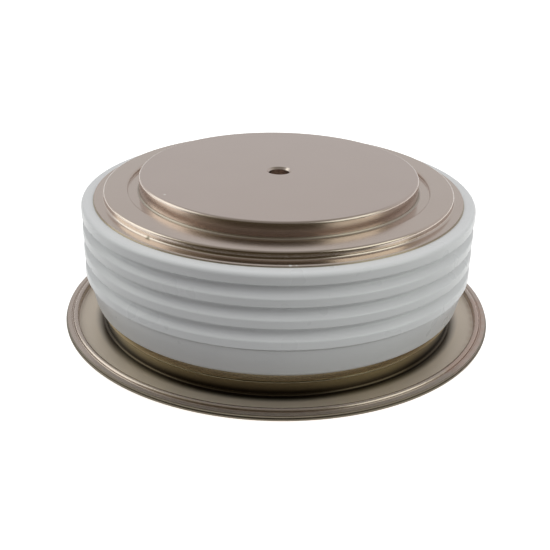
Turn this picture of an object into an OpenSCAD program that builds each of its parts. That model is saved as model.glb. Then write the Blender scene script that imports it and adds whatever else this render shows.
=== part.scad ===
// Press-pack rectifier diode. A silicon wafer on a molybdenum disc is clamped between
// two copper pole pieces, inside a ribbed ceramic housing with pressed metal seals.
// Every piece is a body of revolution about Z, and the lower contact face lies on z = 0.
// Profiles are drawn as [radius, height] and turned once round the axis.

/* [Pole pieces] */
// Diameter of the contact face on each pole piece
contact_d = 47; // [40:0.5:60]
// Rounding of the edge of each contact face
contact_edge_r = 0.5; // [0.2:0.1:0.8]
// Height by which the upper contact face stands above the raised ring
contact_rise = 2.1; // [1:0.1:4]
// Width of the upper pole's shoulder, on which the diaphragm is brazed
shoulder_w = 1.1; // [0.8:0.1:1.4]
// Height of the reduced inner end of the upper pole
inner_step_h = 1.5; // [1:0.1:3]
// Height of the lower pole piece, from its contact face to its inner face
lower_pole_h = 9.5; // [7:0.1:11]
// Width of the lower pole's ledge, which carries the centring ring
ledge_w = 1.6; // [1.2:0.1:2]
// Height of the upper side of that ledge
ledge_z = 3.6; // [2:0.1:5]

/* [Centre holes] */
// Diameter of the locating hole in the middle of each contact face
hole_d = 3.5; // [2:0.1:5]
// Depth of the hole's full diameter
hole_depth = 2.5; // [1.5:0.1:4]
// Chamfer at the hole's mouth
hole_chamfer = 0.35; // [0.1:0.05:0.6]
// Full angle of the drilled point
drill_angle = 118; // [90:1:140]

/* [Upper diaphragm] */
// Thickness of the sheet
diaphragm_t = 0.3; // [0.25:0.05:0.35]
// Gap between the pole's wall and the raised ring's wall
trough_w = 1.9; // [1.6:0.1:2.3]
// Depth of the trough's floor below the raised ring
trough_depth = 0.6; // [0.6:0.1:2]
// Height of the raised ring above the foot band
ring_rise = 1.26; // [1.2:0.02:2]
// Width of the foot band outside the raised ring
foot_w = 1.8; // [1.2:0.1:2.2]
// Width of the ceramic's top left bare outside the foot band
bare_top_w = 2.15; // [1.2:0.05:2.4]
// Inside radius of the coined bends at the trough and along the top of the ring
coined_bend_r = 0.1; // [0.05:0.01:0.12]
// Inside radius of the bend at the foot of the ring's outer wall
foot_bend_r = 0.35; // [0.1:0.05:0.5]
// Gap between a sheet's inner edge and the pole's wall, filled by the braze
edge_gap = 0.1; // [0.05:0.05:0.2]
// Height by which the braze climbs the pole's wall past the sheet
braze_climb = 0.12; // [0.05:0.01:0.2]

/* [Ceramic housing] */
// Height of the ceramic ring
ceramic_h = 17.4; // [16:0.1:22]
// Wall between the bore and the rib lands
ceramic_wall = 5.65; // [5:0.05:6.5]
// Number of rib lands
land_count = 4; // [3:1:4]
// Height of the top land
top_land_h = 1.95; // [1.4:0.05:2.2]
// Distance from the underside of each land to the next one's
rib_pitch = 3.42; // [3.1:0.01:3.5]
// Depth of each groove. Its lower side slopes out by 4 for each 3 down.
groove_depth = 1.2; // [1:0.05:1.4]
// Height of the upright bed of a groove, above its sloping lower side
groove_bed_h = 1.05; // [1:0.05:1.2]
// Radius between a groove's flat ceiling and its bed
groove_root_r = 0.4; // [0.2:0.05:0.45]
// Radius between the bed and the sloping side
groove_slope_r = 0.6; // [0.2:0.05:0.7]
// Rounding of the lands' lower edges
land_edge_r = 0.25; // [0.15:0.05:0.35]
// Rounding of the lands' upper edges
land_top_r = 0.4; // [0.15:0.05:0.5]
// Rounding of the ceramic's top outer edge
top_edge_r = 0.7; // [0.4:0.05:0.9]
// Width of the step from the last land in to the tapered skirt
skirt_step = 0.4; // [0.3:0.05:0.6]
// Inset of the tapered skirt's foot from the lands
skirt_inset = 1.5; // [1:0.05:1.6]
// Rounding of the skirt's foot
skirt_edge_r = 0.8; // [0.4:0.05:0.9]
// Chamfer at each end of the bore
bore_chamfer = 0.3; // [0.1:0.05:0.5]

/* [Lower seal] */
// Height of the metal ring brazed under the ceramic
seal_ring_h = 1.2; // [0.8:0.1:2]
// Width of that ring
seal_ring_w = 2.4; // [2:0.1:2.9]
// Inset of that ring from the rib lands
seal_inset = 2.25; // [2.2:0.05:2.5]
// Thickness of each brazed joint
braze_t = 0.08; // [0.05:0.01:0.12]
// Width by which the upper braze stands out past the foot band
braze_proud = 0.15; // [0.05:0.05:0.3]

/* [Weld flange] */
// Thickness of each of the two flange sheets
flange_t = 0.4; // [0.35:0.05:0.45]
// Inside radius of the pressed bends
bend_r = 0.15; // [0.1:0.05:0.2]
// Rounding of the outer edges of both sheets
rim_edge_r = 0.12; // [0.05:0.01:0.14]
// Height of the lower sheet above the lower contact face
flange_lift = 0.45; // [0.2:0.05:1]
// Height of the upper sheet, from its flat's underside to the seal ring
flange_h = 3.05; // [2.4:0.05:5]
// Inset of the neck from the seal ring
neck_inset = 0.5; // [0.2:0.05:0.8]
// Inside radius of the bend at the neck's foot
neck_foot_r = 0.4; // [0.2:0.05:0.6]
// Width of the flat between the neck and the raised rim
flat_w = 4.6; // [3:0.1:6]
// Height by which the rim is joggled above the flat
joggle_h = 0.8; // [0.8:0.05:1.4]
// Width of the raised rim
rim_w = 2; // [1.9:0.1:3]
// Width by which the lower sheet shows past the upper one
lip_step = 0.15; // [0.05:0.05:0.3]
// Gap between the two sheets at the joggle's wall
nest_gap = 0.02; // [0.01:0.01:0.05]
// Radius of the bead that the weld die raises along the rim
bead_r = 0.45; // [0.4:0.05:0.5]
// Height of the bead above the rim
bead_rise = 0.3; // [0.2:0.05:0.35]
// Radius of the die groove's section
weld_groove_r = 0.17; // [0.12:0.01:0.22]
// Distance of the die groove from the rim's edge
weld_groove_inset = 0.95; // [0.7:0.05:0.95]

/* [Rectifier stack] */
// Margin of the lower molybdenum disc outside the contact face
disc_margin = 1.5; // [1:0.1:2]
// Thickness of the lower molybdenum disc
lower_disc_t = 2.4; // [1.5:0.1:3]
// Margin of the lower disc outside the wafer
wafer_margin = 1; // [0.6:0.1:1.4]
// Thickness of the silicon wafer
wafer_t = 0.6; // [0.4:0.05:1]
// Width of the flat bevel round the wafer's upper edge
bevel_w = 0.7; // [0.4:0.1:0.9]
// Width of the steep bevel round the wafer's lower edge
bevel_foot_w = 0.15; // [0.1:0.05:0.3]
// Thickness of the alloyed joint under the wafer
joint_t = 0.05; // [0.03:0.01:0.1]
// Margin of the wafer outside the upper disc
upper_disc_margin = 1.4; // [1.2:0.1:1.8]
// Thickness of the upper molybdenum disc
upper_disc_t = 1.6; // [1:0.1:2]
// Thickness of each silver foil
foil_t = 0.1; // [0.05:0.01:0.2]
// Height of the rubber round the wafer's edge, above the lower disc
edge_rubber_h = 1.3; // [1.2:0.1:1.5]
// Width by which that rubber laps over the wafer's rim
edge_rubber_lap = 0.95; // [0.8:0.05:1.1]
// Wall of the plastic centring ring
centring_wall = 2.2; // [1.8:0.1:2.6]
// Height of the centring ring's top above the wafer
centring_rise = 0.5; // [0:0.1:1.5]
// Gap inside and outside the centring ring
centring_gap = 0.15; // [0.1:0.05:0.3]
// Gap between the moulded rubber and the pieces beside it
rubber_gap = 0.02; // [0.01:0.01:0.05]

/* [Hidden] */
$fn = 128;

nickel = "#b4aea8";
braze = "#c8bfa6";
glaze = "#f0f0ec";
silver = "#d6d6d2";
molybdenum = "#8d9094";
silicon = "#565c6c";
rubber = "#e9e4da";
plastic = "#f6f6f1";

// Radii, from the rectifier stack outwards
hole_r = hole_d / 2;
contact_r = contact_d / 2;
lower_disc_r = contact_r + disc_margin;
wafer_r = lower_disc_r - wafer_margin;
upper_disc_r = wafer_r - upper_disc_margin;
shoulder_r = contact_r + shoulder_w;
ledge_r = lower_disc_r + ledge_w;
centring_in_r = lower_disc_r + centring_gap;
centring_out_r = centring_in_r + centring_wall;
bore_r = centring_out_r + centring_gap;
land_r = bore_r + ceramic_wall;
foot_r = land_r - bare_top_w;
ring_out_r = foot_r - foot_w;
ring_in_r = contact_r + trough_w;
skirt_foot_r = land_r - skirt_inset;
seal_r = land_r - seal_inset;
neck_r = seal_r - neck_inset;
joggle_r = neck_r + flat_w;
rim_r = joggle_r + rim_w;
weld_groove_at = rim_r - weld_groove_inset;

// Heights, from the lower contact face upwards
lid_top_z = flange_lift + flange_t;
ledge_foot_z = lid_top_z + braze_t;
flat_z = lid_top_z + flange_t;
rim_foot_z = lid_top_z + joggle_h;
rim_z = rim_foot_z + flange_t;
flange_top_z = lid_top_z + flange_h;
seal_z = flange_top_z + braze_t;
seal_top_z = seal_z + seal_ring_h;
ceramic_z = seal_top_z + braze_t;
ceramic_top_z = ceramic_z + ceramic_h;
foot_z = ceramic_top_z + braze_t;
ring_z = foot_z + diaphragm_t + ring_rise;
trough_z = ring_z - trough_depth;
shoulder_z = trough_z - diaphragm_t - braze_t;
upper_contact_z = ring_z + contact_rise;

// Heights of the rectifier stack, from the lower pole's inner face upwards
disc_z = lower_pole_h + foil_t;
joint_z = disc_z + lower_disc_t;
wafer_z = joint_z + joint_t;
upper_disc_z = wafer_z + wafer_t;
upper_foil_z = upper_disc_z + upper_disc_t;
upper_pole_z = upper_foil_z + foil_t;
centring_top_z = upper_disc_z + centring_rise;

// Spare length by which a cutting shape passes the surface that it cuts
cut_past = 1;

// A flat ring or disc
module washer(r_in, r_out, z, h) {
    rotate_extrude() translate([r_in, z]) square([r_out - r_in, h]);
}

// One straight run of a sheet's section, from a to b along the middle line
module sheet_run(a, b, t) {
    low = [min(a.x, b.x), min(a.y, b.y)];
    along = [abs(b.x - a.x), abs(b.y - a.y)];
    across = along.x > along.y ? [0, t] : [t, 0];
    translate(low - across / 2) square(along + across);
}

// One quarter bend of a sheet's section, round its centre and on the side given by the signs
module sheet_bend(centre, side, r_in, t) {
    r_out = r_in + t;
    intersection() {
        translate(centre) difference() {
            circle(r_out);
            circle(r_in);
        }
        translate([centre.x + min(0, side.x * r_out), centre.y + min(0, side.y * r_out)])
            square(r_out);
    }
}

// Section of a pressed sheet: square corners along its middle line, with an inside
// radius for each corner. The first and last entries of radii belong to the free ends.
module sheet_section(path, radii, t) {
    last = len(path) - 1;
    way = [for (i = [0:last - 1]) (path[i + 1] - path[i]) / norm(path[i + 1] - path[i])];
    mid = [for (i = [0:last]) i == 0 || i == last ? 0 : radii[i] + t / 2];
    for (i = [0:last - 1])
        sheet_run(path[i] + way[i] * mid[i], path[i + 1] - way[i] * mid[i + 1], t);
    for (i = [1:last - 1])
        sheet_bend(path[i] + (way[i] - way[i - 1]) * mid[i], way[i - 1] - way[i], radii[i], t);
}

// Outline of a contact end with its drilled hole, from the wall to the axis. Heights
// count from the contact face, and the metal lies below it.
contact_end = [
    [contact_r, -contact_edge_r], [contact_r - contact_edge_r, 0],
    [hole_r + hole_chamfer, 0], [hole_r, -hole_chamfer],
    [hole_r, -hole_depth], [0, -hole_depth - hole_r / tan(drill_angle / 2)]
];

// Half section of a pole piece with its contact face up, at height 0. The body lists
// [radius, depth below the face] from the axis at the inner end out to the wall.
module pole_section(body) {
    polygon(concat([for (p = body) [p.x, -p.y]], contact_end));
    translate([contact_r - contact_edge_r, -contact_edge_r]) circle(contact_edge_r);
}

// Upper pole piece: reduced inner end, shoulder for the diaphragm, contact end
module upper_pole() {
    h = upper_contact_z - upper_pole_z;
    step_depth = h - inner_step_h;
    shoulder_depth = upper_contact_z - shoulder_z;
    color(nickel) translate([0, 0, upper_contact_z]) rotate_extrude() pole_section([
        [0, h], [upper_disc_r, h], [upper_disc_r, step_depth], [shoulder_r, step_depth],
        [shoulder_r, shoulder_depth], [contact_r, shoulder_depth]
    ]);
}

// Section of the braze that joins a sheet to a pole piece: a film under the sheet, which
// also fills the gap at the sheet's edge and climbs the pole's wall
module pole_braze_section(r_out, sheet_t) {
    edge_r = contact_r + edge_gap;
    polygon([
        [contact_r, 0], [r_out, 0], [r_out, braze_t], [edge_r, braze_t],
        [edge_r, braze_t + sheet_t], [contact_r, braze_t + sheet_t + braze_climb]
    ]);
}

// Braze between the upper pole's shoulder and the diaphragm
module upper_pole_braze() {
    color(braze) translate([0, 0, shoulder_z]) rotate_extrude()
        pole_braze_section(shoulder_r, diaphragm_t);
}

// Upper diaphragm: one pressed sheet, from the trough's floor over the raised ring
// to the foot band on the ceramic
module upper_diaphragm() {
    half = diaphragm_t / 2;
    path = [
        [contact_r + edge_gap, trough_z - half],
        [ring_in_r + half, trough_z - half],
        [ring_in_r + half, ring_z - half],
        [ring_out_r - half, ring_z - half],
        [ring_out_r - half, foot_z + half],
        [foot_r, foot_z + half]
    ];
    coined = coined_bend_r;
    color(nickel) rotate_extrude()
        sheet_section(path, [0, coined, coined, coined, foot_bend_r, 0], diaphragm_t);
}

// Braze between the foot band and the ceramic, with a thin edge that shows
module upper_seal_braze() {
    color(braze) washer(ring_out_r, foot_r + braze_proud, ceramic_top_z, braze_t);
}

// Section with rounded corners, listed anticlockwise as [radius, height, rounding]. The
// polygon runs straight between the tangent points of each rounded corner. The circles
// that touch both sides fill out the outward corners and hollow out the inward ones.
module rounded_section(corners) {
    last = len(corners) - 1;
    at = [for (c = corners) [c.x, c.y]];
    back = [for (i = [0:last]) at[i == 0 ? last : i - 1] - at[i]];
    ahead = [for (i = [0:last]) at[i == last ? 0 : i + 1] - at[i]];
    u = [for (v = back) v / norm(v)];
    v = [for (w = ahead) w / norm(w)];
    half = [for (i = [0:last]) acos(u[i] * v[i]) / 2];
    reach = [for (i = [0:last]) corners[i][2] / tan(half[i])];
    middle = [for (i = [0:last]) corners[i][2] == 0 ? at[i]
        : at[i] + (u[i] + v[i]) / norm(u[i] + v[i]) * corners[i][2] / sin(half[i])];
    outward = [for (i = [0:last]) u[i].y * v[i].x - u[i].x * v[i].y > 0];
    difference() {
        union() {
            polygon([for (i = [0:last]) each corners[i][2] == 0 ? [at[i]]
                : [at[i] + u[i] * reach[i], at[i] + v[i] * reach[i]]]);
            for (i = [0:last]) if (corners[i][2] > 0 && outward[i])
                translate(middle[i]) circle(corners[i][2]);
        }
        for (i = [0:last]) if (corners[i][2] > 0 && !outward[i])
            translate(middle[i]) circle(corners[i][2]);
    }
}

// Corners of one groove, from its lower mouth up to the land's underside at height z: a
// sloping lower side, an upright bed and a flat ceiling
function groove_corners(z) = [
    [land_r, z - groove_bed_h - groove_depth * 3 / 4, land_top_r],
    [land_r - groove_depth, z - groove_bed_h, groove_slope_r],
    [land_r - groove_depth, z, groove_root_r],
    [land_r, z, land_edge_r]
];

// Ceramic ring: plain bore, lands and grooves, a step in to the skirt, a tapered skirt
module ceramic_ring() {
    first_underside_z = ceramic_top_z - top_land_h;
    skirt_z = first_underside_z - (land_count - 1) * rib_pitch;
    color(glaze) rotate_extrude() rounded_section(concat(
        [
            [bore_r, ceramic_z + bore_chamfer, 0], [bore_r + bore_chamfer, ceramic_z, 0],
            [skirt_foot_r, ceramic_z, skirt_edge_r],
            [land_r - skirt_step, skirt_z, 0], [land_r, skirt_z, land_edge_r]
        ],
        [for (i = [land_count - 2:-1:0]) each groove_corners(first_underside_z - i * rib_pitch)],
        [
            [land_r, ceramic_top_z, top_edge_r],
            [bore_r + bore_chamfer, ceramic_top_z, 0], [bore_r, ceramic_top_z - bore_chamfer, 0]
        ]
    ));
}

// Braze between the ceramic and the seal ring
module lower_seal_braze() {
    color(braze) washer(seal_r - seal_ring_w, seal_r, seal_top_z, braze_t);
}

// Metal ring under the ceramic, which carries the case flange
module seal_ring() {
    color(nickel) washer(seal_r - seal_ring_w, seal_r, seal_z, seal_ring_h);
}

// Braze between the seal ring and the case flange
module flange_braze() {
    color(braze) washer(seal_r - seal_ring_w, neck_r - flange_t, flange_top_z, braze_t);
}

// Free outer end of a flange sheet's section, with both corners rounded. It starts at
// the end of the run, at radius r and with its middle line at height z.
module sheet_end(r, z) {
    for (side = [-1, 1])
        translate([r, z + side * (flange_t / 2 - rim_edge_r)]) circle(rim_edge_r);
    translate([r, z - flange_t / 2 + rim_edge_r])
        square([rim_edge_r, flange_t - 2 * rim_edge_r]);
}

// Case flange: the upper sheet, with its foot under the seal ring, the neck, the flat
// and the joggled rim, which has the weld die's bead and groove along it
module case_flange() {
    half = flange_t / 2;
    path = [
        [seal_r - seal_ring_w, flange_top_z - half],
        [neck_r - half, flange_top_z - half],
        [neck_r - half, flat_z - half],
        [joggle_r + half, flat_z - half],
        [joggle_r + half, rim_z - half],
        [rim_r - rim_edge_r, rim_z - half]
    ];
    wall_top_z = rim_z - flange_t - bend_r;
    bead_z = rim_z + bead_rise - bead_r;
    color(nickel) rotate_extrude() difference() {
        union() {
            sheet_section(path, [0, bend_r, neck_foot_r, bend_r, bend_r, 0], flange_t);
            sheet_end(rim_r - rim_edge_r, rim_z - half);
            translate([joggle_r, wall_top_z]) square([flange_t, bead_z - wall_top_z]);
            intersection() {
                translate([joggle_r + bead_r, bead_z]) circle(bead_r);
                translate([joggle_r, rim_z - half]) square([2 * bead_r, bead_rise + half]);
            }
        }
        translate([weld_groove_at, rim_z]) circle(weld_groove_r);
    }
}

// Lid flange: the lower sheet, from its seat under the lower pole's ledge to the
// joggled rim, which lies flat against the case flange's rim
module lid_flange() {
    half = flange_t / 2;
    wall_r = joggle_r + flange_t + nest_gap + half;
    end_r = rim_r + lip_step - rim_edge_r;
    path = [
        [contact_r + edge_gap, lid_top_z - half],
        [wall_r, lid_top_z - half],
        [wall_r, rim_foot_z - half],
        [end_r, rim_foot_z - half]
    ];
    color(nickel) rotate_extrude() {
        sheet_section(path, [0, bend_r, bend_r, 0], flange_t);
        sheet_end(end_r, rim_foot_z - half);
    }
}

// Braze between the lid flange and the lower pole's ledge
module lower_pole_braze() {
    color(braze) translate([0, 0, ledge_foot_z]) mirror([0, 0, 1]) rotate_extrude()
        pole_braze_section(ledge_r, flange_t);
}

// Lower pole piece: contact end, ledge over the lid flange, body under the lower disc
module lower_pole() {
    color(nickel) rotate([180, 0, 0]) rotate_extrude() pole_section([
        [0, lower_pole_h], [lower_disc_r, lower_pole_h], [lower_disc_r, ledge_z],
        [ledge_r, ledge_z], [ledge_r, ledge_foot_z], [contact_r, ledge_foot_z]
    ]);
}

// Silver foil between the lower pole and the lower disc
module lower_foil() {
    color(silver) washer(0, lower_disc_r, lower_pole_h, foil_t);
}

// Lower molybdenum disc, to which the wafer is alloyed
module lower_disc() {
    color(molybdenum) washer(0, lower_disc_r, disc_z, lower_disc_t);
}

// Thin aluminium and silicon joint under the wafer
module alloy_joint() {
    color(silver) washer(0, wafer_r, joint_z, joint_t);
}

// Section of the wafer and its joint, grown by a gap, with the rim bevelled in two steps
module wafer_section(foot_z, gap) {
    half_z = wafer_z + wafer_t / 2;
    top_z = wafer_z + wafer_t + gap;
    polygon([
        [0, foot_z], [wafer_r + gap, foot_z], [wafer_r + gap, wafer_z],
        [wafer_r - bevel_foot_w + gap, half_z], [wafer_r - bevel_w + gap, top_z], [0, top_z]
    ]);
}

// Silicon wafer
module silicon_wafer() {
    color(silicon) rotate_extrude() wafer_section(wafer_z, 0);
}

// Rubber moulded on the lower disc round the wafer's rim, sloped on the outside
module edge_rubber() {
    lap_r = wafer_r - edge_rubber_lap;
    top_z = joint_z + edge_rubber_h;
    color(rubber) rotate_extrude() difference() {
        polygon([
            [lap_r, joint_z], [lower_disc_r, joint_z],
            [lower_disc_r, wafer_z + wafer_t / 2], [wafer_r, top_z], [lap_r, top_z]
        ]);
        wafer_section(joint_z - cut_past, rubber_gap);
    }
}

// Upper molybdenum disc, loose on the wafer
module upper_disc() {
    color(molybdenum) washer(0, upper_disc_r, upper_disc_z, upper_disc_t);
}

// Silver foil between the upper disc and the upper pole
module upper_foil() {
    color(silver) washer(0, upper_disc_r, upper_foil_z, foil_t);
}

// Plastic ring that stands on the lower pole's ledge and centres the stack in the bore
module centring_ring() {
    color(plastic) washer(centring_in_r, centring_out_r, ledge_z, centring_top_z - ledge_z);
}

upper_pole();
upper_pole_braze();
upper_diaphragm();
upper_seal_braze();
ceramic_ring();
lower_seal_braze();
seal_ring();
flange_braze();
case_flange();
lid_flange();
lower_pole_braze();
lower_pole();
lower_foil();
lower_disc();
alloy_joint();
silicon_wafer();
edge_rubber();
upper_disc();
upper_foil();
centring_ring();
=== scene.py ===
# The looks of a press-pack rectifier diode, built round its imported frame. Metres, +Z up.
import math

import bmesh
import bpy
from mathutils import Matrix, Vector


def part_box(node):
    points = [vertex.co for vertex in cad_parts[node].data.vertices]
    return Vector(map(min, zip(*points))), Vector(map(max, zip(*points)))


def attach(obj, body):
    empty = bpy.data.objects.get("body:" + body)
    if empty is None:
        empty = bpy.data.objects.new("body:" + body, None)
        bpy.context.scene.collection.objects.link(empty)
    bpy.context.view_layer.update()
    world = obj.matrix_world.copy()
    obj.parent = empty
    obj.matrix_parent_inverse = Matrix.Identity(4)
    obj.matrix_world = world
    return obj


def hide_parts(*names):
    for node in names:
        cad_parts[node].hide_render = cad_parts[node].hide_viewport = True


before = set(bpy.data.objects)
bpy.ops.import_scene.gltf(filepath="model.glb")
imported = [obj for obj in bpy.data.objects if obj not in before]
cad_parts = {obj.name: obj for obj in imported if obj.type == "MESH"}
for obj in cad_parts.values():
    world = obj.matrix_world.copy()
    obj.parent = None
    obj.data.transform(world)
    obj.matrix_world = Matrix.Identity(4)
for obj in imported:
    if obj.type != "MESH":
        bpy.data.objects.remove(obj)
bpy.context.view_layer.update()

# Lower pole piece.
# A copper disc, turned all over and plated with satin nickel. Its flat face takes the
# clamp's pressure, a drilled hole centres it, and its ledge is brazed to the lid flange.
mm = 0.001
steps_round = 288
steps_bend = 5
pole_contact_r = 23.5 * mm
pole_edge_r = 0.5 * mm
pole_hole_r = 1.75 * mm
pole_hole_depth = 2.5 * mm
pole_hole_chamfer = 0.35 * mm
drill_half_angle = math.radians(59)
pole_point_depth = pole_hole_r / math.tan(drill_half_angle)
lower_ledge_top_z = 3.6 * mm
lower_ledge_foot_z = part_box("lower_pole_braze")[1].z
lower_pole_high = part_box("lower_pole")[1]
lower_ledge_r = lower_pole_high.x
lower_body_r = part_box("lower_disc")[1].x
pole_pale = (0.64, 0.545, 0.495)
pole_dull = (0.61, 0.515, 0.467)
pole_roughness = 0.26
turning_pitch = 0.12 * mm
turning_height = 0.00005 * mm
line_detail = 4
line_sharpness = 0.65
cloud_size = 9 * mm
cloud_detail = 5
sheen_low = -0.01
sheen_high = 0.02


def select_ring(piece, radius, height):
    """Selects the edges of one ring of a turned piece, in edit mode, by their place."""
    mesh = bmesh.from_edit_mesh(piece.data)
    near = 0.002 * mm
    for face in mesh.faces:
        face.select = False
    for vertex in mesh.verts:
        vertex.select = False
    for edge in mesh.edges:
        edge.select = all(
            abs(v.co.xy.length - radius) < near and abs(v.co.z - height) < near for v in edge.verts
        )
    mesh.select_flush_mode()
    bmesh.update_edit_mesh(piece.data)


def extrude_ring(radius, height, next_radius, next_height):
    """Extrudes the selected ring to its next radius and height, or to a point on the axis."""
    rise = (0, 0, next_height - height)
    bpy.ops.mesh.extrude_region_move(TRANSFORM_OT_translate={"value": rise})
    if next_radius == 0:
        bpy.ops.mesh.merge(type="CENTER")
        return
    widen = next_radius / radius
    bpy.ops.transform.resize(value=(widen, widen, 1), center_override=(0, 0, 0))


def turn_piece(name, outline, rounds):
    """Turns an outline of [radius, height] corners round the axis, as on a lathe, and rounds
    the corners that have an entry in rounds. An outline that starts and ends on the axis
    makes a solid disc, and any other closes on its own first corner."""
    crease_angle = math.radians(35)
    merge_reach = 0.001 * mm
    bpy.ops.object.select_all(action="DESELECT")
    on_axis = outline[0][0] == 0
    corners = outline[1:] if on_axis else outline + outline[:1]
    radius, height = corners[0]
    bpy.ops.mesh.primitive_circle_add(
        vertices=steps_round, radius=radius, location=(0, 0, height)
    )
    piece = bpy.context.object
    piece.name = name
    piece.data.name = name
    bpy.ops.object.transform_apply(location=True)
    bpy.ops.object.mode_set(mode="EDIT")
    bpy.ops.mesh.select_mode(type="EDGE")
    bpy.ops.mesh.select_all(action="SELECT")
    for next_radius, next_height in corners[1:]:
        extrude_ring(radius, height, next_radius, next_height)
        radius, height = next_radius, next_height
    if on_axis:
        select_ring(piece, *corners[0])
        extrude_ring(*corners[0], *outline[0])
    bpy.ops.mesh.select_all(action="SELECT")
    bpy.ops.mesh.remove_doubles(threshold=merge_reach)
    bpy.ops.mesh.normals_make_consistent(inside=False)
    for index, reach in rounds.items():
        select_ring(piece, *outline[index])
        bpy.ops.mesh.bevel(
            offset=reach, offset_type="OFFSET", segments=steps_bend, profile=0.5,
            affect="EDGES", clamp_overlap=False
        )
    bpy.ops.object.mode_set(mode="OBJECT")
    bpy.ops.object.shade_smooth_by_angle(angle=crease_angle)
    even = piece.modifiers.new("even shading", "WEIGHTED_NORMAL")
    even.keep_sharp = True
    bpy.ops.object.modifier_apply(modifier=even.name)
    return piece


def dress(piece, material):
    """Gives a piece, new or carried over, one material."""
    piece.data.materials.clear()
    piece.data.materials.append(material)


def new_material(name):
    """A material with its node tree and its Principled shader."""
    material = bpy.data.materials.new(name)
    material.use_nodes = True
    tree = material.node_tree
    return material, tree, tree.nodes["Principled BSDF"]


def on_piece(tree):
    """The place of a point on the piece, as the piece lies in the frame."""
    return tree.nodes.new("ShaderNodeTexCoord").outputs["Object"]


def from_axis(tree):
    """How far from the axis, and how high, a point on the piece lies."""
    place = on_piece(tree)
    flat = tree.nodes.new("ShaderNodeVectorMath")
    flat.operation = "MULTIPLY"
    flat.inputs[1].default_value = (1, 1, 0)
    tree.links.new(place, flat.inputs[0])
    radius = tree.nodes.new("ShaderNodeVectorMath")
    radius.operation = "LENGTH"
    tree.links.new(flat.outputs["Vector"], radius.inputs[0])
    apart = tree.nodes.new("ShaderNodeSeparateXYZ")
    tree.links.new(place, apart.inputs["Vector"])
    return radius.outputs["Value"], apart.outputs["Z"]


def calculate(tree, operation, first, second):
    """The sum, the product or the larger of what two sockets send."""
    node = tree.nodes.new("ShaderNodeMath")
    node.operation = operation
    tree.links.new(first, node.inputs[0])
    tree.links.new(second, node.inputs[1])
    return node.outputs["Value"]


def grade(tree, value, start, end, at_start=0, at_end=1, curve="LINEAR"):
    """Goes from one level to another while a value goes from start to end, and no further."""
    node = tree.nodes.new("ShaderNodeMapRange")
    node.interpolation_type = curve
    node.inputs["From Min"].default_value = start
    node.inputs["From Max"].default_value = end
    node.inputs["To Min"].default_value = at_start
    node.inputs["To Max"].default_value = at_end
    tree.links.new(value, node.inputs["Value"])
    return node.outputs["Result"]


def clouds(tree, size, detail=2):
    """Soft random patches about as wide as size, from 0 to 1."""
    node = tree.nodes.new("ShaderNodeTexNoise")
    node.inputs["Scale"].default_value = 1 / size
    node.inputs["Detail"].default_value = detail
    tree.links.new(on_piece(tree), node.inputs["Vector"])
    return node.outputs["Fac"]


def blend(tree, share, first, second, kind="RGBA"):
    """Mixes two colours or two numbers, each fixed or from a socket. Share 0 is the first."""
    node = tree.nodes.new("ShaderNodeMix")
    node.data_type = kind
    tree.links.new(share, node.inputs["Factor"])
    for side, given in (("A", first), ("B", second)):
        if isinstance(given, bpy.types.NodeSocket):
            tree.links.new(given, node.inputs[side])
        else:
            node.inputs[side].default_value = (*given, 1) if kind == "RGBA" else given
    return node.outputs["Result"]


def bump(tree, height, depth):
    """Raises the surface where a height from 0 to 1 is high, by a depth at most."""
    node = tree.nodes.new("ShaderNodeBump")
    node.inputs["Strength"].default_value = 1
    node.inputs["Distance"].default_value = depth
    tree.links.new(height, node.inputs["Height"])
    tree.links.new(node.outputs["Normal"], tree.nodes["Principled BSDF"].inputs["Normal"])


def satin_nickel(name, pale, dull, roughness, line_pitch, line_height):
    """Nickel plate over turned or pressed metal: fine lines round the axis, which show in
    the sheen too, and faint clouds between a pale and a dull colour."""
    material, tree, shader = new_material(name)
    radius, height = from_axis(tree)
    lines = tree.nodes.new("ShaderNodeTexNoise")
    lines.noise_dimensions = "1D"
    lines.inputs["Scale"].default_value = 1 / line_pitch
    lines.inputs["Detail"].default_value = line_detail
    lines.inputs["Roughness"].default_value = line_sharpness
    tree.links.new(calculate(tree, "ADD", radius, height), lines.inputs["W"])
    tint = blend(tree, clouds(tree, cloud_size, cloud_detail), dull, pale)
    tree.links.new(tint, shader.inputs["Base Color"])
    sheen = grade(
        tree, lines.outputs["Fac"], 0, 1, roughness + sheen_low, roughness + sheen_high
    )
    tree.links.new(sheen, shader.inputs["Roughness"])
    bump(tree, lines.outputs["Fac"], line_height)
    shader.inputs["Metallic"].default_value = 1
    return material


pole_nickel = satin_nickel(
    "pole_nickel", pole_pale, pole_dull, pole_roughness, turning_pitch, turning_height
)
lower_pole_outline = [
    (0, pole_hole_depth + pole_point_depth), (pole_hole_r, pole_hole_depth),
    (pole_hole_r, pole_hole_chamfer), (pole_hole_r + pole_hole_chamfer, 0),
    (pole_contact_r, 0), (pole_contact_r, lower_ledge_foot_z),
    (lower_ledge_r, lower_ledge_foot_z), (lower_ledge_r, lower_ledge_top_z),
    (lower_body_r, lower_ledge_top_z), (lower_body_r, lower_pole_high.z),
    (0, lower_pole_high.z)
]
lower_pole = turn_piece("lower_pole_piece", lower_pole_outline, {4: pole_edge_r})
dress(lower_pole, pole_nickel)
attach(lower_pole, "root")
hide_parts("lower_pole")

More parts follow.
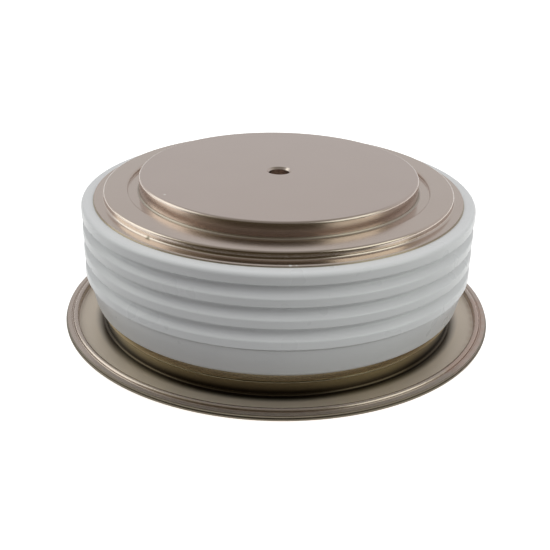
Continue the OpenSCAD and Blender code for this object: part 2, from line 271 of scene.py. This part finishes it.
# Lid flange.
# A thin pressed sheet of nickel, brazed under the lower pole's ledge. Its rim is stepped
# up and lies flat against the case flange's rim, where the two are pressure welded.
flange_t = 0.4 * mm
bend_r = 0.15 * mm
nest_gap = 0.02 * mm
rim_edge_r = 0.12 * mm
sheet_gap = 0.1 * mm
joggle_r = 35 * mm
lid_low, lid_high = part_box("lid_flange")
lid_top_z = lid_low.z + flange_t
lid_rim_z = lid_high.z
lid_wall_r = joggle_r + flange_t + nest_gap
lid_cut_edge_w = 0.1 * mm
flange_pale = (0.9, 0.81, 0.71)
flange_dull = (0.86, 0.77, 0.67)
flange_roughness = 0.58
flange_line_pitch = 0.2 * mm
flange_line_height = 0.0002 * mm
die_tint = (0.56, 0.475, 0.42)
burnished_roughness = 0.26
burnish_fade = 0.2 * mm
# The cut edge's dark colour is partly bare cut metal and partly painted shade that stands in for
# the dark room mirrored there.
cut_edge_and_shade_tint = (0.17, 0.145, 0.11)
cut_edge_roughness = 0.4
cut_edge_fade = 0.04 * mm


def sheet_outline(top_path, thickness, inner_radius):
    """The outline of a pressed sheet from the corners along its upper side, which run
    square to each other, and the round of each bend: the inner radius on the hollow side
    and the inner radius plus the thickness on the other."""
    last = len(top_path) - 1
    ways = [(Vector(b) - Vector(a)).normalized() for a, b in zip(top_path, top_path[1:])]
    under = []
    rounds = {}
    for i, corner in enumerate(top_path):
        before = ways[max(i - 1, 0)]
        after = ways[min(i, last - 1)]
        shift = Vector((before.y, -before.x))
        if 0 < i < last:
            shift += Vector((after.y, -after.x))
            turn = before.x * after.y - before.y * after.x
            bend = inner_radius[i - 1]
            rounds[i] = bend if turn > 0 else bend + thickness
            rounds[2 * last + 1 - i] = bend + thickness if turn > 0 else bend
        under.append(tuple(Vector(corner) + shift * thickness))
    return list(top_path) + under[::-1], rounds


def lay_over(material, quality, share, level):
    """Lays another colour or roughness over the material's own, by a share from 0 to 1."""
    tree = material.node_tree
    target = tree.nodes["Principled BSDF"].inputs[quality]
    own = target.links[0].from_socket
    kind = "RGBA" if target.type == "RGBA" else "FLOAT"
    tree.links.new(blend(tree, share, own, level, kind), target)


def press_rim(material, cut_edge_r):
    """The rim of a flange: the welding die has burnished it from the joggle outwards, and
    from a radius on it is an edge as the punch left it. The edge is darkened partly as bare cut
    metal and partly as painted shade, a dark reflection of the room it faces."""
    tree = material.node_tree
    radius = from_axis(tree)[0]
    pressed = grade(tree, radius, joggle_r - burnish_fade, joggle_r)
    at_edge = grade(tree, radius, cut_edge_r - cut_edge_fade, cut_edge_r)
    lay_over(material, "Base Color", pressed, die_tint)
    lay_over(material, "Roughness", pressed, burnished_roughness)
    lay_over(material, "Base Color", at_edge, cut_edge_and_shade_tint)
    lay_over(material, "Roughness", at_edge, cut_edge_roughness)


lid_nickel = satin_nickel(
    "lid_nickel", flange_pale, flange_dull, flange_roughness, flange_line_pitch, flange_line_height
)
press_rim(lid_nickel, lid_high.x - lid_cut_edge_w)
lid_outline, lid_rounds = sheet_outline(
    [
        (pole_contact_r + sheet_gap, lid_top_z), (lid_wall_r, lid_top_z),
        (lid_wall_r, lid_rim_z), (lid_high.x, lid_rim_z)
    ],
    flange_t, [bend_r, bend_r]
)
lid_rounds |= {3: rim_edge_r, 4: rim_edge_r}
lid_flange = turn_piece("lid_weld_flange", lid_outline, lid_rounds)
dress(lid_flange, lid_nickel)
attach(lid_flange, "root")
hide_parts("lid_flange")

# Rectifier stack.
# The silicon wafer on its lower molybdenum disc, the loose upper disc, a silver foil at
# each pole, the rubber round the wafer and the plastic centring ring, all sealed inside.
bump_per_grain = 1 / 200


def plain_finish(name, colour, other, grain, roughness, metallic):
    """A finish for plain pieces: two close colours in a fine grain, with a light bump."""
    material, tree, shader = new_material(name)
    speckle = clouds(tree, grain)
    tree.links.new(blend(tree, speckle, colour, other), shader.inputs["Base Color"])
    bump(tree, speckle, grain * bump_per_grain)
    shader.inputs["Metallic"].default_value = metallic
    shader.inputs["Roughness"].default_value = roughness
    return material


silver_foil = plain_finish("silver_foil", (0.86, 0.85, 0.82), (0.8, 0.79, 0.76), 0.6 * mm, 0.3, 1)
molybdenum = plain_finish("molybdenum", (0.3, 0.3, 0.32), (0.24, 0.24, 0.26), 0.2 * mm, 0.5, 1)
alloy = plain_finish("alloy_joint", (0.6, 0.6, 0.6), (0.5, 0.5, 0.5), 0.3 * mm, 0.5, 1)
silicon = plain_finish("silicon", (0.06, 0.065, 0.09), (0.05, 0.055, 0.075), 1 * mm, 0.12, 0)
rubber = plain_finish("edge_rubber", (0.76, 0.73, 0.67), (0.7, 0.67, 0.61), 0.4 * mm, 0.55, 0)
plastic = plain_finish("centring_plastic", (0.9, 0.9, 0.87), (0.86, 0.86, 0.83), 0.5 * mm, 0.4, 0)
for node_name, finish in {
    "lower_foil": silver_foil, "upper_foil": silver_foil,
    "lower_disc": molybdenum, "upper_disc": molybdenum,
    "alloy_joint": alloy, "silicon_wafer": silicon,
    "edge_rubber": rubber, "centring_ring": plastic
}.items():
    dress(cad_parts[node_name], finish)

# Ceramic ring.
# Alumina, pressed and fired with four rounded lands that lengthen the path for leakage
# current, then dipped in a white glaze. The foot tapers in to the metal below it.
land_edge_r = 0.25 * mm
land_top_r = 0.4 * mm
groove_depth = 1.2 * mm
groove_bed_h = 1.05 * mm
groove_slope_h = groove_depth * 3 / 4
groove_root_r = 0.4 * mm
groove_slope_r = 0.6 * mm
top_land_h = 1.95 * mm
rib_pitch = 3.42 * mm
groove_count = 3
top_edge_r = 0.7 * mm
skirt_step = 0.4 * mm
skirt_step_r = 0.3 * mm
skirt_inset = 1.5 * mm
skirt_edge_r = 0.8 * mm
bore_chamfer = 0.3 * mm
bore_r = 27.5 * mm
ceramic_low, ceramic_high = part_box("ceramic_ring")
land_r = ceramic_high.x
groove_bed_r = land_r - groove_depth
groove_h = groove_bed_h + groove_slope_h
half_slope = math.atan(groove_depth / groove_slope_h) / 2
glaze_shade = (0.712, 0.712, 0.732)
glaze_pale = (0.75, 0.75, 0.764)
glaze_cloud_size = 12 * mm
glaze_cloud_detail = 4
ripple_size = 4 * mm
ripple_detail = 1
ripple_height = 0.004 * mm
glaze_roughness = (0.24, 0.34)
ceramic_outline = [(bore_r + bore_chamfer, ceramic_high.z), (land_r, ceramic_high.z)]
ceramic_rounds = {1: top_edge_r}
for i in range(groove_count):
    ceiling_z = ceramic_high.z - top_land_h - i * rib_pitch
    first = len(ceramic_outline)
    ceramic_outline += [
        (land_r, ceiling_z), (groove_bed_r, ceiling_z),
        (groove_bed_r, ceiling_z - groove_bed_h), (land_r, ceiling_z - groove_h)
    ]
    ceramic_rounds[first] = land_edge_r
    ceramic_rounds[first + 1] = groove_root_r
    ceramic_rounds[first + 2] = groove_slope_r * math.tan(half_slope)
    ceramic_rounds[first + 3] = land_top_r * math.tan(half_slope)
skirt_z = ceramic_high.z - top_land_h - groove_count * rib_pitch
skirt_top_r = land_r - skirt_step
skirt_foot_r = land_r - skirt_inset
skirt_taper = math.atan((skirt_top_r - skirt_foot_r) / (skirt_z - ceramic_low.z))
first = len(ceramic_outline)
ceramic_outline += [
    (land_r, skirt_z), (skirt_top_r, skirt_z), (skirt_foot_r, ceramic_low.z),
    (bore_r + bore_chamfer, ceramic_low.z), (bore_r, ceramic_low.z + bore_chamfer),
    (bore_r, ceramic_high.z - bore_chamfer)
]
ceramic_rounds[first] = land_edge_r
ceramic_rounds[first + 1] = skirt_step_r * math.tan((math.pi / 2 - skirt_taper) / 2)
ceramic_rounds[first + 2] = skirt_edge_r / math.tan((math.pi / 2 + skirt_taper) / 2)


def white_glaze():
    """White glaze over alumina: clear gloss, a faint waviness and slight colour clouds."""
    material, tree, shader = new_material("white_glaze")
    tint = blend(tree, clouds(tree, glaze_cloud_size, glaze_cloud_detail), glaze_shade, glaze_pale)
    tree.links.new(tint, shader.inputs["Base Color"])
    ripple = clouds(tree, ripple_size, ripple_detail)
    bump(tree, ripple, ripple_height)
    tree.links.new(grade(tree, ripple, 0, 1, *glaze_roughness), shader.inputs["Roughness"])
    return material


ceramic = turn_piece("ceramic_housing", ceramic_outline, ceramic_rounds)
dress(ceramic, white_glaze())
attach(ceramic, "root")
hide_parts("ceramic_ring")

# Seal ring and the lower brazes.
# A low ring of nickel iron, brazed to the metallized foot of the ceramic. The case flange
# is brazed under it, and the lid flange to the lower pole, each with a thin ring of alloy.
seal_edge_r = 0.08 * mm
seal_bore_r = 28.5 * mm
seal_pale = (0.52, 0.44, 0.29)
seal_dull = (0.44, 0.37, 0.24)
seal_roughness = 0.2
seal_line_pitch = 0.1 * mm
seal_line_height = 0.0002 * mm


def turn_plain_ring(node_name, name, hole_r, edge_r=0):
    """A plain ring as wide and as high as a node of the frame, with its own hole."""
    low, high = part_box(node_name)
    outline = [(hole_r, high.z), (high.x, high.z), (high.x, low.z), (hole_r, low.z)]
    return turn_piece(name, outline, {1: edge_r, 2: edge_r} if edge_r else {})


seal_nickel = satin_nickel(
    "seal_nickel", seal_pale, seal_dull, seal_roughness, seal_line_pitch, seal_line_height
)
seal_ring = turn_plain_ring("seal_ring", "seal_ring_piece", seal_bore_r, seal_edge_r)
dress(seal_ring, seal_nickel)
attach(seal_ring, "root")
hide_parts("seal_ring")
braze_alloy = plain_finish("braze_alloy", (0.62, 0.57, 0.47), (0.5, 0.45, 0.36), 0.5 * mm, 0.4, 1)
for node_name in ("lower_seal_braze", "flange_braze"):
    ring = turn_plain_ring(node_name, node_name + "_ring", seal_bore_r)
    dress(ring, braze_alloy)
    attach(ring, "root")
    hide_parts(node_name)
pole_braze = plain_finish(
    "pole_braze", (0.5, 0.435, 0.375), (0.45, 0.39, 0.335), 0.4 * mm, 0.35, 1
)
dress(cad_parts["lower_pole_braze"], pole_braze)

# Case flange.
# The upper of the two pressed nickel sheets: foot, neck, flat and a stepped rim. The
# welding die leaves a raised bead and a fine groove all along the rim. The neck has a
# brazing tint with painted shade over it, which darkens the recess under the ceramic and
# out over the flat, most of all low in its corner.
neck_inset = 0.5 * mm
neck_foot_r = 0.4 * mm
bead_r = 0.45 * mm
bead_rise = 0.3 * mm
groove_from_rim = 0.95 * mm
die_groove_w = 0.3 * mm
die_groove_depth = 0.17 * mm
die_groove_round = 0.12 * mm
die_groove_lip_r = 0.04 * mm
case_cut_edge_w = 0.08 * mm
case_low, case_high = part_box("case_flange")
neck_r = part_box("seal_ring")[1].x - neck_inset
neck_bore_r = neck_r - flange_t
neck_top_z = case_high.z
flat_z = case_low.z + flange_t
case_rim_z = lid_rim_z + flange_t
bead_out_r = joggle_r + 2 * bead_r
bead_top_z = case_rim_z + bead_rise
die_groove_z = case_rim_z - die_groove_depth
die_groove_out_r = case_high.x - groove_from_rim + die_groove_w / 2
case_wall_r = joggle_r + flange_t
# The neck's colours are a brazing tint and painted shade of the recess under the ceramic, with the
# darkest painted shade low in the corner.
neck_tint_and_shade = (0.24, 0.2, 0.125)
corner_painted_shade = (0.07, 0.054, 0.036)
neck_shade_r = neck_r + 0.3 * mm
neck_shade_fade = 1.7 * mm
darkening_top_z = neck_top_z - 0.6 * mm
darkest_z = flat_z + 0.75 * mm
burn_tint = (0.52, 0.3, 0.23)
burn_share = 0.3
burn_reach = 1.9 * mm
burn_r = joggle_r + 0.6 * mm
burn_sides = [math.radians(side) for side in range(50, 91, 4)]
case_outline = [
    (seal_bore_r, neck_top_z), (neck_r, neck_top_z), (neck_r, flat_z),
    (joggle_r, flat_z), (joggle_r, bead_top_z), (bead_out_r, bead_top_z),
    (bead_out_r, die_groove_z), (die_groove_out_r, die_groove_z),
    (die_groove_out_r, case_rim_z), (case_high.x, case_rim_z), (case_high.x, lid_rim_z),
    (case_wall_r, lid_rim_z), (case_wall_r, case_low.z), (neck_bore_r, case_low.z),
    (neck_bore_r, neck_top_z - flange_t), (seal_bore_r, neck_top_z - flange_t)
]
# The bead's two rounds would meet at its full radius, so they stay just under it.
bead_round = bead_r * 0.98
case_rounds = {
    1: bend_r + flange_t, 2: neck_foot_r, 3: bend_r, 4: bead_round, 5: bead_round,
    6: die_groove_round, 7: die_groove_round, 8: die_groove_lip_r, 9: rim_edge_r,
    10: rim_edge_r, 11: bend_r, 12: bend_r + flange_t, 13: neck_foot_r + flange_t, 14: bend_r
}


def tint_and_shade_neck(material):
    """Brazing tint on the neck under painted shade of the recess below the ceramic: it fades
    out over the flat, is darkest low down in the corner, and is as smooth as the burnished rim."""
    tree = material.node_tree
    radius, height = from_axis(tree)
    tint_and_shade_share = grade(tree, radius, neck_shade_r, neck_shade_r + neck_shade_fade, 1, 0, "SMOOTHSTEP")
    low_down = grade(tree, height, darkening_top_z, darkest_z)
    lay_over(material, "Base Color", tint_and_shade_share, blend(tree, low_down, neck_tint_and_shade, corner_painted_shade))
    lay_over(material, "Roughness", tint_and_shade_share, burnished_roughness)


def spot(material, place, reach, colour, share):
    """A soft-edged mark on a metal piece: round a place, its colour takes part of another."""
    tree = material.node_tree
    away = tree.nodes.new("ShaderNodeVectorMath")
    away.operation = "DISTANCE"
    away.inputs[1].default_value = place
    tree.links.new(on_piece(tree), away.inputs[0])
    near = grade(tree, away.outputs["Value"], reach / 3, reach, share, 0, "SMOOTHSTEP")
    lay_over(material, "Base Color", near, colour)


case_nickel = satin_nickel(
    "case_nickel", flange_pale, flange_dull, flange_roughness, flange_line_pitch, flange_line_height
)
tint_and_shade_neck(case_nickel)
press_rim(case_nickel, case_high.x - case_cut_edge_w)
for side in burn_sides:
    burn_place = (burn_r * math.sin(side), -burn_r * math.cos(side), case_rim_z)
    spot(case_nickel, burn_place, burn_reach, burn_tint, burn_share)
case_flange = turn_piece("case_weld_flange", case_outline, case_rounds)
dress(case_flange, case_nickel)
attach(case_flange, "root")
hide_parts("case_flange")

# Upper diaphragm and its brazes.
# One pressed nickel sheet, thin enough to give when the clamp is closed: a trough next to
# the pole, a raised ring, and a foot band brazed to the ceramic's metallized top. Another
# braze, with a small fillet, seals the trough to the pole.
diaphragm_t = 0.3 * mm
coined_bend_r = 0.1 * mm
foot_bend_r = 0.35 * mm
trough_w = 1.9 * mm
trough_depth = 0.6 * mm
foot_w = 1.6 * mm
pole_fillet_r = 0.35 * mm
fillet_steps = 6
diaphragm_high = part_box("upper_diaphragm")[1]
ring_z = diaphragm_high.z
trough_z = ring_z - trough_depth
foot_top_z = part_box("upper_seal_braze")[1].z + diaphragm_t
foot_r = diaphragm_high.x
ring_in_r = pole_contact_r + trough_w
ring_out_r = foot_r - foot_w
sheet_in_r = pole_contact_r + sheet_gap
sheet_pale = (0.65, 0.555, 0.495)
sheet_dull = (0.61, 0.515, 0.455)
sheet_roughness = 0.19
sheet_line_pitch = 0.3 * mm
sheet_line_height = 0.0001 * mm
nick_place = (-19.25 * mm, -22.5 * mm, foot_top_z + 0.11 * mm)
nick_reach = 0.5 * mm
nick_tint = (0.2, 0.17, 0.125)
nick_share = 0.85
# Painted highlights: two white spots at the front edge of the foot band, where a braze fillet
# catches the light.
glint_z = foot_top_z - 0.09 * mm
front_painted_glints = [
    ((1.75 * mm, -30.95 * mm, glint_z), 0.3 * mm, 1),
    ((2.6 * mm, -30.9 * mm, glint_z), 0.18 * mm, 0.7)
]
painted_glint_tint = (1, 0.98, 0.95)
diaphragm_outline, diaphragm_rounds = sheet_outline(
    [
        (sheet_in_r, trough_z), (ring_in_r, trough_z), (ring_in_r, ring_z),
        (ring_out_r, ring_z), (ring_out_r, foot_top_z), (foot_r, foot_top_z)
    ],
    diaphragm_t, [coined_bend_r, coined_bend_r, coined_bend_r, foot_bend_r]
)
diaphragm_nickel = satin_nickel(
    "diaphragm_nickel", sheet_pale, sheet_dull, sheet_roughness, sheet_line_pitch, sheet_line_height
)
spot(diaphragm_nickel, nick_place, nick_reach, nick_tint, nick_share)
# The painted highlights go onto the diaphragm's colour.
for glint_place, glint_reach, glint_share in front_painted_glints:
    spot(diaphragm_nickel, glint_place, glint_reach, painted_glint_tint, glint_share)
diaphragm = turn_piece("upper_diaphragm_sheet", diaphragm_outline, diaphragm_rounds)
dress(diaphragm, diaphragm_nickel)
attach(diaphragm, "root")
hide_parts("upper_diaphragm")
pole_braze_low, pole_braze_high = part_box("upper_pole_braze")
pole_braze_outline = [
    (pole_contact_r, pole_braze_low.z), (pole_braze_high.x, pole_braze_low.z),
    (pole_braze_high.x, trough_z - diaphragm_t), (sheet_in_r, trough_z - diaphragm_t),
    (sheet_in_r, trough_z)
]
for i in range(fillet_steps + 1):
    turn = math.pi / 2 * i / fillet_steps
    pole_braze_outline.append((
        pole_contact_r + pole_fillet_r * (1 - math.sin(turn)),
        trough_z + pole_fillet_r * (1 - math.cos(turn))
    ))
upper_pole_braze = turn_piece("upper_pole_braze_ring", pole_braze_outline, {})
dress(upper_pole_braze, pole_braze)
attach(upper_pole_braze, "root")
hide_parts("upper_pole_braze")
seal_braze = turn_plain_ring("upper_seal_braze", "upper_seal_braze_ring", ring_out_r)
dress(seal_braze, braze_alloy)
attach(seal_braze, "root")
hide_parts("upper_seal_braze")

# Upper pole piece.
# The same turned and plated copper as the lower one, with a shoulder that carries the
# diaphragm and a reduced end that presses on the upper molybdenum disc.
upper_pole_low, upper_pole_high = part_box("upper_pole")
contact_z = upper_pole_high.z
shoulder_z = pole_braze_low.z
shoulder_r = upper_pole_high.x
inner_end_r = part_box("upper_disc")[1].x
inner_end_h = 1.5 * mm
inner_step_z = upper_pole_low.z + inner_end_h
face_speck_place = (-17.8 * mm, -12.7 * mm, contact_z)
face_speck_reach = 0.3 * mm
face_speck_tint = (0.9, 0.86, 0.8)
face_speck_share = 0.8
upper_pole_outline = [
    (0, upper_pole_low.z), (inner_end_r, upper_pole_low.z), (inner_end_r, inner_step_z),
    (shoulder_r, inner_step_z), (shoulder_r, shoulder_z), (pole_contact_r, shoulder_z),
    (pole_contact_r, contact_z), (pole_hole_r + pole_hole_chamfer, contact_z),
    (pole_hole_r, contact_z - pole_hole_chamfer), (pole_hole_r, contact_z - pole_hole_depth),
    (0, contact_z - pole_hole_depth - pole_point_depth)
]
spot(pole_nickel, face_speck_place, face_speck_reach, face_speck_tint, face_speck_share)
upper_pole = turn_piece("upper_pole_piece", upper_pole_outline, {6: pole_edge_r})
dress(upper_pole, pole_nickel)
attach(upper_pole, "root")
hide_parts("upper_pole")

# Table top.
# A grey table, as far as its light on matt surfaces goes, under a sheet of white paper that
# the camera and the metal see. The metal also mirrors the dark desk past its front edge.
floor_half = 1.5
sheet_front_y = -62 * mm
sheet_front_fade = 8 * mm
sheet_white = 0.85
sheet_glow = 0.7
table_grey = 0.2
table_roughness = 0.7
desk_brown = (0.08, 0.062, 0.035)
bpy.ops.object.select_all(action="DESELECT")
bpy.ops.mesh.primitive_plane_add(size=2 * floor_half, location=(0, 0, 0))
floor = bpy.context.object
floor.name = "table_top"


def grey(level):
    """A grey as a colour."""
    return (level, level, level)


def seen_rays(tree):
    """The kinds of ray, and a socket that is 1 for camera, glossy and transmission rays."""
    rays = tree.nodes.new("ShaderNodeLightPath").outputs
    seen = calculate(tree, "MAXIMUM", rays["Is Camera Ray"], rays["Is Glossy Ray"])
    return rays, calculate(tree, "MAXIMUM", seen, rays["Is Transmission Ray"])


def matt(tree, colour):
    """A plain matt shader of one colour."""
    node = tree.nodes.new("ShaderNodeBsdfDiffuse")
    node.inputs["Color"].default_value = (*colour, 1)
    return node.outputs["BSDF"]


def choose_shader(tree, share, first, second):
    """The first shader where the share is 0, and the second where it is 1."""
    node = tree.nodes.new("ShaderNodeMixShader")
    tree.links.new(share, node.inputs["Fac"])
    tree.links.new(first, node.inputs[1])
    tree.links.new(second, node.inputs[2])
    return node.outputs["Shader"]


def pale_table():
    """Grey in the light that it sends to matt surfaces, and a white sheet to all that see
    it. A mirrored ray meets the dark desk past the sheet's front edge."""
    material, tree, shader = new_material("pale_table")
    shader.inputs["Base Color"].default_value = (*grey(table_grey), 1)
    shader.inputs["Roughness"].default_value = table_roughness
    veil = tree.nodes.new("ShaderNodeEmission")
    veil.inputs["Strength"].default_value = sheet_glow
    white_sheet = tree.nodes.new("ShaderNodeAddShader")
    tree.links.new(matt(tree, grey(sheet_white)), white_sheet.inputs[0])
    tree.links.new(veil.outputs["Emission"], white_sheet.inputs[1])
    apart = tree.nodes.new("ShaderNodeSeparateXYZ")
    tree.links.new(on_piece(tree), apart.inputs["Vector"])
    past_sheet = grade(
        tree, apart.outputs["Y"], sheet_front_y, sheet_front_y - sheet_front_fade
    )
    rays, seen = seen_rays(tree)
    mirrored_desk = calculate(tree, "MULTIPLY", past_sheet, rays["Is Glossy Ray"])
    what_is_seen = choose_shader(
        tree, mirrored_desk, white_sheet.outputs["Shader"], matt(tree, desk_brown)
    )
    surface = choose_shader(tree, seen, shader.outputs["BSDF"], what_is_seen)
    tree.links.new(surface, tree.nodes["Material Output"].inputs["Surface"])
    return material


dress(floor, pale_table())

# Light tent.
# What the metal mirrors: a white back and sides, a duller roof and the unlit, brown room in
# front, all turned a little. The camera sees plain white, and matt surfaces get an even
# light that is stronger from the sides and from above.
tent_turn = math.radians(-12)
tent_white = grey(0.63)
room_brown = (0.045, 0.034, 0.014)
room_edge_brown = (0.055, 0.042, 0.018)
tent_edge_shade = (0.3, 0.28, 0.21)
tent_roof = (0.27, 0.26, 0.24)
roof_from = 0.55
world = bpy.data.worlds.new("light_tent")
bpy.context.scene.world = world
world.use_nodes = True
sky = world.node_tree
turned = sky.nodes.new("ShaderNodeMapping")
turned.vector_type = "VECTOR"
turned.inputs["Rotation"].default_value = (0, 0, tent_turn)
direction = sky.nodes.new("ShaderNodeTexCoord").outputs["Generated"]
sky.links.new(direction, turned.inputs["Vector"])
way = sky.nodes.new("ShaderNodeSeparateXYZ")
sky.links.new(turned.outputs["Vector"], way.inputs["Vector"])


def ramp(value, low, high, stops):
    """The colours that the stops give a part of the direction, as it goes from low to high."""
    node = sky.nodes.new("ShaderNodeValToRGB")
    sky.links.new(grade(sky, value, low, high), node.inputs["Fac"])
    steps = node.color_ramp.elements
    steps[0].position = stops[0][0]
    steps[0].color = (*stops[0][1], 1)
    steps[1].position = stops[-1][0]
    steps[1].color = (*stops[-1][1], 1)
    for place, colour in stops[1:-1]:
        steps.new(place).color = (*colour, 1)
    return node.outputs["Color"]


around = ramp(
    way.outputs["Y"], -1, 1,
    [
        (0, room_brown), (0.22, room_edge_brown), (0.4, tent_edge_shade),
        (0.56, tent_white), (1, tent_white)
    ]
)
to_roof = ramp(way.outputs["Z"], roof_from, 1, [(0, grey(0)), (1, grey(1))])
tent = blend(sky, to_roof, around, tent_roof)
side_level = ramp(
    way.outputs["X"], -1, 1,
    [
        (0, grey(1)), (0.3, grey(0.84)), (0.5, grey(0.58)),
        (0.6, grey(0.8)), (0.7, grey(1)), (1, grey(1))
    ]
)
height_level = ramp(way.outputs["Z"], 0, 1, [(0, grey(0.1)), (0.5, grey(0.75)), (1, grey(1))])
plain_level = sky.nodes.new("ShaderNodeVectorMath")
plain_level.operation = "MULTIPLY"
sky.links.new(side_level, plain_level.inputs[0])
sky.links.new(height_level, plain_level.inputs[1])
sky_rays, sky_seen = seen_rays(sky)
tent_or_ground = blend(sky, sky_rays["Is Camera Ray"], tent, grey(1))
light_or_seen = blend(sky, sky_seen, plain_level.outputs["Vector"], tent_or_ground)
sky.links.new(light_or_seen, sky.nodes["Background"].inputs["Color"])

# Soft boxes.
# One at each side of the part, for its highlights. The left one stands a little further
# back than the part, and the right one in front of it.
box_reach = 0.6
box_rise = math.radians(29)
box_h = 0.46
box_tint = (0.93, 1, 0.91)


def soft_box(name, side, width, brightness):
    """A soft box at an angle round the object from the front, turned to face it."""
    lamp = bpy.data.lights.new(name, "AREA")
    lamp.shape = "RECTANGLE"
    lamp.size = width
    lamp.size_y = box_h
    lamp.energy = brightness * math.pi * width * box_h
    lamp.color = box_tint
    box = bpy.data.objects.new(name, lamp)
    bpy.context.scene.collection.objects.link(box)
    away = Vector((
        math.sin(side) * math.cos(box_rise),
        -math.cos(side) * math.cos(box_rise),
        math.sin(box_rise)
    ))
    box.location = away * box_reach
    box.rotation_euler = (-away).to_track_quat("-Z", "Y").to_euler()


soft_box("left_box", side=math.radians(-100), width=0.46, brightness=1.1)
soft_box("right_box", side=math.radians(63), width=0.48, brightness=1.3)

# Camera.
# It stands where the photograph was taken from. A fit to the part's visible circles gave
# its lens and place, how far it looks down and the picture's slight roll.
camera_right = -0.366 * mm
camera_back = 141.3 * mm
camera_above_face = 47.12 * mm
look_down = math.radians(25.25)
picture_roll = math.radians(1.047)
sensor_mm = 36
lens_mm = 57.28
camera_data = bpy.data.cameras.new("photo_camera")
camera_data.sensor_width = sensor_mm
camera_data.lens = lens_mm
camera = bpy.data.objects.new("photo_camera", camera_data)
bpy.context.scene.collection.objects.link(camera)
camera.location = (camera_right, -camera_back, contact_z + camera_above_face)
camera.rotation_euler = (
    Matrix.Rotation(math.pi / 2 - look_down, 3, "X") @ Matrix.Rotation(picture_roll, 3, "Z")
).to_euler()
bpy.context.scene.camera = camera
bpy.context.scene.view_settings.view_transform = "Standard"
